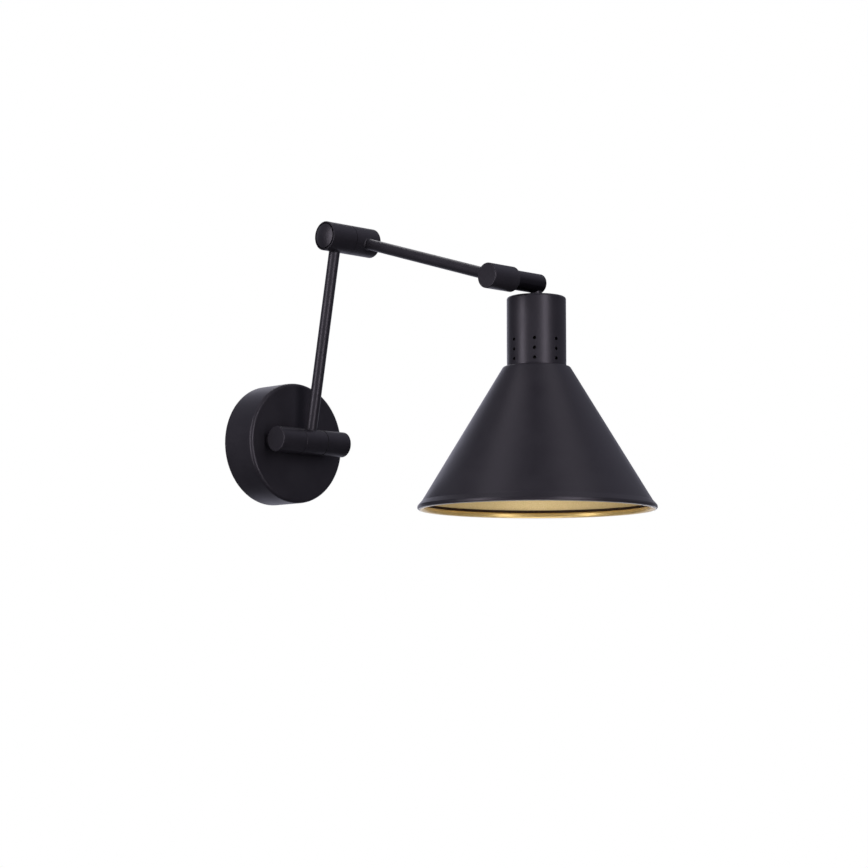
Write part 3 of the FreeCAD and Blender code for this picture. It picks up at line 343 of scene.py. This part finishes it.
def phenolic():
    """Black phenolic of the lampholder: a moulded gloss with faint flow marks and fine filler."""
    s = Shader("phenolic")
    s.set(Coat_Weight=0.2, Coat_Roughness=0.15)
    flow = s.noise(7, 4, stretch=(1, 1, 3), distortion=0.6)
    filler = s.noise(0.6, 2)
    tone = s.mix(s.span(flow, 0, 1), (0.010, 0.008, 0.007), (0.022, 0.018, 0.016))
    s.link(s.mix(s.span(filler, 0, 0.3, 0.5, 0.8), tone, (0.050, 0.042, 0.036)), "Base Color")
    s.link(s.span(flow, 0.24, 0.36), "Roughness")
    s.bump(filler, 0.006)
    return s.material


LOOKS = {
    "black_coat": powder_coat(),
    "zinc_steel": zinc(),
    "green_screw": green_coat(),
    "copper_wire": copper(),
    "black_insulation": insulation("black_insulation", (0.010, 0.010, 0.011), (0.022, 0.022, 0.023)),
    "white_insulation": insulation("white_insulation", (0.70, 0.69, 0.65), (0.80, 0.79, 0.75)),
    "lead_insulation": insulation("lead_insulation", (0.40, 0.40, 0.38), (0.52, 0.52, 0.50)),
    "brass": brass(),
    "phenolic": phenolic(),
    "fibre_washer": fibre(),
    "spring_steel": spring_steel(),
}
LOOKS["shade_finish"] = LOOKS["black_coat"]
GOLD = gold_paint()
HEM = gold_hem()
LIP = lip_coat()
FOLD = fold_shadow()

for part in frame["record"]["subparts"]:
    node = NODES[part["node"]]
    node.data.materials.clear()
    node.data.materials.append(LOOKS[part["material_slot"]])
# the tilt barrel gets the darker gloss copy of the black: painted shade
NODES["tilt_barrel"].data.materials[0] = shaded_gloss_black()


# ---------------------------------------------------------------- turned pieces

def rounded(corners):
    """Points along a profile. A corner is (radius, height, rounding, material); a rounded corner
    becomes an arc, and each straight run gets a point near its ends that keeps its shading flat."""
    arc_steps, hold, straight = 8, 0.12, 1e-3
    count = len(corners)
    points = []
    for i, (r, z, fillet, material) in enumerate(corners):
        here = Vector((r, z))
        before = Vector(corners[i - 1][:2])
        after = Vector(corners[(i + 1) % count][:2])
        a = (before - here).normalized()
        b = (after - here).normalized()
        angle = a.angle(b)
        if fillet <= 0 or abs(angle - math.pi) < straight:
            points.append((here, material))
            continue
        setback = fillet / math.tan(angle / 2)
        middle = here + (a + b).normalized() * (fillet / math.sin(angle / 2))
        start = here + a * setback
        end = here + b * setback
        if (before - start).length > 3 * hold:
            points.append((start + a * hold, corners[i - 1][3]))
        first, last = start - middle, end - middle
        turn = math.copysign(math.pi - angle, first.x * last.y - first.y * last.x)
        for k in range(arc_steps + 1):
            t = turn * k / arc_steps
            spun = Vector((first.x * math.cos(t) - first.y * math.sin(t),
                           first.x * math.sin(t) + first.y * math.cos(t)))
            points.append((middle + spun, material if k >= arc_steps / 2 else corners[i - 1][3]))
        if (after - end).length > 3 * hold:
            points.append((end + b * hold, material))
    return points


def piece_from(bm, name, materials):
    """A new object from a bmesh, its faces all turned outward."""
    bmesh.ops.recalc_face_normals(bm, faces=bm.faces)
    mesh = bpy.data.meshes.new(name)
    bm.to_mesh(mesh)
    bm.free()
    for material in materials:
        mesh.materials.append(material)
    obj = bpy.data.objects.new(name, mesh)
    bpy.context.scene.collection.objects.link(obj)
    return obj


def lathe(name, points, place, materials):
    """A closed profile turned round local Z, placed by a matrix."""
    segments = 288
    bm = bmesh.new()
    rings = [[bm.verts.new((point.x * math.cos(2 * math.pi * k / segments),
                            point.x * math.sin(2 * math.pi * k / segments), point.y))
              for k in range(segments)] for point, _ in points]
    for i, ring in enumerate(rings):
        other = rings[(i + 1) % len(rings)]
        for k in range(segments):
            after = (k + 1) % segments
            face = bm.faces.new((ring[k], ring[after], other[after], other[k]))
            face.material_index = points[i][1]
            face.smooth = True
    obj = piece_from(bm, name, materials)
    obj.data.transform(place)
    return obj


def centre_of(node):
    """The middle of a CAD node's box, in metres."""
    low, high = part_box(node)
    return (low + high) / 2


def half_width(node, axis):
    """Half of a CAD node's extent along an axis, in millimetres."""
    low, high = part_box(node)
    return (high[axis] - low[axis]) / 2 / MM


def shade():
    """Spun steel cone: black outside, gold inside, its lip rolled and folded in as a hem."""
    low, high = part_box("shade")
    middle = (low + high) / 2
    height = (high.z - low.z) / MM
    rim = half_width("shade", 0)
    hole, shoulder, sheet = 20.0, 32.0, 1.0
    black, gold, hem, lip, fold = range(5)
    profile = [
        (hole, 0.0, 0.0, black),
        (shoulder, 0.0, 3.0, black),
        (rim - 4.4, height - 8.4, 6.0, black),   # the cone ends and flares
        (rim - 0.35, height - 3.9, 1.0, black),
        (rim, height - 2.7, 1.0, black),         # widest point of the rolled lip
        (rim - 0.25, height - 0.45, 1.5, lip),
        (rim - 2.4, height, 1.0, hem),           # the lip turns under
        (rim - 5.9, height - 0.3, 1.8, hem),
        (rim - 6.4, height - 5.4, 1.2, hem),     # the hem comes back up inside
        # the crease's faces carry the fold material, painted shade
        (rim - 4.4, height - 5.0, 0.3, fold),
        (rim - 3.5, height - 5.6, 0.0, fold),    # bottom of the crease
        (rim - 5.0, height - 7.7, 0.0, gold),
        (rim - 5.6, height - 8.9, 4.0, gold),
        (shoulder - 0.9, sheet, 2.0, gold),
        (hole, sheet, 0.0, gold),
    ]
    place = Matrix.Translation((middle.x, middle.y, high.z)) @ Matrix.Rotation(math.pi, 4, "X") \
        @ Matrix.Scale(MM, 4)
    obj = lathe("shade_spun", rounded(profile), place, [LOOKS["black_coat"], GOLD, HEM, LIP, FOLD])
    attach(obj, BODY_OF["shade"])
    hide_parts("shade")
    return obj


def braze(name, arm, foot, barrel_radius, arm_direction):
    """The small fillet of braze where an arm stands on a barrel that lies along X."""
    segments, steps, width, root = 96, 6, 1.0, 0.2
    rod_radius = half_width("lower_arm_tube", 0)
    along = arm_direction.normalized()
    across = Vector((1, 0, 0)).cross(along)
    bm = bmesh.new()
    rings = []
    for k in range(segments):
        turn = 2 * math.pi * k / segments
        out = Vector((math.cos(turn), 0, 0)) + across * math.sin(turn)

        def surface(radius):
            return math.sqrt(barrel_radius ** 2 - (radius * math.sin(turn)) ** 2)

        corner = Vector((rod_radius, surface(rod_radius)))
        top = Vector((rod_radius, surface(rod_radius) + width))
        toe = Vector((rod_radius + width, surface(rod_radius + width)))
        profile = [Vector((rod_radius - root, corner.y - root))]
        for i in range(steps + 1):
            t = i / steps
            profile.append(top * (1 - t) ** 2 + corner * (2 * t * (1 - t)) + toe * t ** 2)
        rings.append([bm.verts.new(foot + (out * p.x + along * p.y) * MM) for p in profile])
    for k, ring in enumerate(rings):
        after = rings[(k + 1) % segments]
        for i in range(len(ring)):
            j = (i + 1) % len(ring)
            face = bm.faces.new((ring[i], ring[j], after[j], after[i]))
            face.smooth = 0 < i < steps + 1
    obj = piece_from(bm, name, [LOOKS["black_coat"]])
    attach(obj, BODY_OF[arm])


def brazed_joints():
    """Where each arm meets its barrels: two on the lower arm and two on the upper one."""
    for arm, first, second, foot, tip in (
        ("lower_arm_tube", "pivot_hub", "elbow_barrel_lower", "braze_lower_foot", "braze_lower_top"),
        ("upper_arm_tube", "elbow_barrel_upper", "head_barrel", "braze_upper_foot", "braze_upper_end"),
    ):
        x = centre_of(arm).x
        start, end = (Vector((x, *centre_of(barrel).yz)) for barrel in (first, second))
        braze(foot, arm, start, half_width(first, 2), end - start)
        braze(tip, arm, end, half_width(second, 2), start - end)


spun_shade = shade()
brazed_joints()


# ---------------------------------------------------------------- studio

def area_light(name, aim, turn, elevation, width, height, power, distance=LIGHT_DISTANCE,
               colour=(1, 1, 1)):
    """A soft box that faces the aim point; its turn and elevation are in degrees."""
    a, e = math.radians(CAMERA_SIDE + turn), math.radians(elevation)
    back = Vector((math.sin(a) * math.cos(e), -math.cos(a) * math.cos(e), math.sin(e)))
    light = bpy.data.lights.new(name, "AREA")
    light.shape = "RECTANGLE"
    light.size, light.size_y = width, height
    light.energy = power
    light.color = colour
    obj = bpy.data.objects.new(name, light)
    obj.location = aim + back * distance
    obj.rotation_mode = "QUATERNION"
    obj.rotation_quaternion = (-back).to_track_quat("-Z", "Y")
    bpy.context.scene.collection.objects.link(obj)
    return obj


def camera():
    """The view is from the left of the wall's normal and a little below, through a long lens."""
    yaw, pitch = math.radians(44.088), math.radians(6.140)
    distance, aside, above, clip = 2.4328, 0.16589, 0.01238, 100
    level = math.cos(pitch)
    ahead = Vector((math.sin(yaw) * level, math.cos(yaw) * level, math.sin(pitch)))
    right = Vector((math.cos(yaw), -math.sin(yaw), 0))
    up = right.cross(ahead)
    aim = right * aside + up * above
    data = bpy.data.cameras.new("camera")
    data.lens = 98.99
    data.sensor_width = 36
    data.clip_end = clip
    obj = bpy.data.objects.new("camera", data)
    obj.location = aim - ahead * distance
    obj.rotation_mode = "QUATERNION"
    obj.rotation_quaternion = ahead.to_track_quat("-Z", "Y")
    bpy.context.scene.collection.objects.link(obj)
    bpy.context.scene.camera = obj
    return aim, ahead


def world(ahead):
    """White to the camera. What the surfaces reflect is a softer grey, brighter above, with soft
    white cards: one behind and a little below, one behind on the left, and one up on the right."""
    data = bpy.data.worlds.new("studio")
    bpy.context.scene.world = data
    data.use_nodes = True
    tree = data.node_tree
    tree.nodes.clear()
    leftward = Vector((-ahead.y, ahead.x, 0)).normalized()
    cards = [  # direction, cosine where it fades out, cosine where it is full, brightness
        (ahead - Vector((0, 0, 0.24)), 0.74, 0.94, 0.6),
        (ahead + leftward * 0.42 + Vector((0, 0, 0.24)), 0.90, 0.985, 0.54),
        (ahead * 0.41 - leftward * 0.71 + Vector((0, 0, 0.53)), 0.82, 0.97, 0.17),
    ]

    def graded(socket, **ends):
        """A range mapped onto another, the ends given by their sockets' names."""
        node = tree.nodes.new("ShaderNodeMapRange")
        for name, number in ends.items():
            node.inputs[name.replace("_", " ")].default_value = number
        tree.links.new(socket, node.inputs["Value"])
        return node

    seen = tree.nodes.new("ShaderNodeBackground")
    seen.inputs["Color"].default_value = (1, 1, 1, 1)
    fill = tree.nodes.new("ShaderNodeBackground")
    fill.inputs["Color"].default_value = (0.90, 0.90, 1.08, 1)
    place = tree.nodes.new("ShaderNodeTexCoord")
    height = tree.nodes.new("ShaderNodeSeparateXYZ")
    tree.links.new(place.outputs["Generated"], height.inputs[0])
    ramp = graded(height.outputs["Z"], From_Min=-0.6, From_Max=0.5, To_Min=0.08, To_Max=0.20)
    strength = ramp.outputs["Result"]
    for toward, faint, full, brightness in cards:
        facing = tree.nodes.new("ShaderNodeVectorMath")
        facing.operation = "DOT_PRODUCT"
        facing.inputs[1].default_value = toward.normalized()
        tree.links.new(place.outputs["Generated"], facing.inputs[0])
        card = graded(facing.outputs["Value"], From_Min=faint, From_Max=full, To_Max=brightness)
        card.interpolation_type = "SMOOTHSTEP"
        total = tree.nodes.new("ShaderNodeMath")
        tree.links.new(strength, total.inputs[0])
        tree.links.new(card.outputs["Result"], total.inputs[1])
        strength = total.outputs[0]
    tree.links.new(strength, fill.inputs["Strength"])
    path = tree.nodes.new("ShaderNodeLightPath")
    blend = tree.nodes.new("ShaderNodeMixShader")
    out = tree.nodes.new("ShaderNodeOutputWorld")
    tree.links.new(path.outputs["Is Camera Ray"], blend.inputs[0])
    tree.links.new(fill.outputs[0], blend.inputs[1])
    tree.links.new(seen.outputs[0], blend.inputs[2])
    tree.links.new(blend.outputs[0], out.inputs["Surface"])


def floor():
    """A pale round floor far below the lamp, with some light of its own."""
    bpy.ops.mesh.primitive_circle_add(vertices=96, radius=FLOOR_RADIUS, fill_type="NGON",
                                      location=(0, 0, -FLOOR_DROP))
    obj = bpy.context.object
    obj.name = "floor"
    s = Shader("pale_floor")
    tint = s.noise(400, 3)
    s.link(s.mix(s.span(tint, 0, 1), (0.80, 0.80, 0.80), (0.84, 0.84, 0.83)), "Base Color")
    s.set(Roughness=0.7, Emission_Color=(0.95, 0.95, 0.95, 1), Emission_Strength=0.8)
    obj.data.materials.append(s.material)
    obj.visible_diffuse = False
    obj.visible_glossy = False


def lights(aim):
    """Two tall strips, a weak front box and three boxes from above; and one wide box below that
    lights only the pieces inside the shade."""
    for name, turn, elevation, width, height, power in (
        ("soft_left", -54, 2, 0.62, 2.6, 24),
        ("soft_right", 31, 2, 0.62, 2.6, 23),
        ("soft_front", -6, 6, 1.6, 1.6, 2.2),
        ("soft_top_left", -62, 62, 1.0, 1.0, 3.0),
        ("soft_top_back", 190, 50, 0.9, 0.9, 4.5),
        ("soft_top_right", 62, 62, 1.0, 1.0, 2.6),
    ):
        area_light(name, aim, turn, elevation, width, height, power)
    below = area_light("soft_below", centre_of("shade"), 0, -84, 0.6, 0.6, 3.6,
                       distance=0.8, colour=(1.0, 0.99, 0.97))
    inside = bpy.data.collections.new("inside_shade")
    for node in ("shade_ring", "lampholder_body", "screw_shell", "centre_contact"):
        inside.objects.link(NODES[node])
    inside.objects.link(spun_shade)
    below.light_linking.receiver_collection = inside


aim, ahead = camera()
lights(aim)
world(ahead)
floor()
bpy.context.scene.view_settings.view_transform = "Standard"
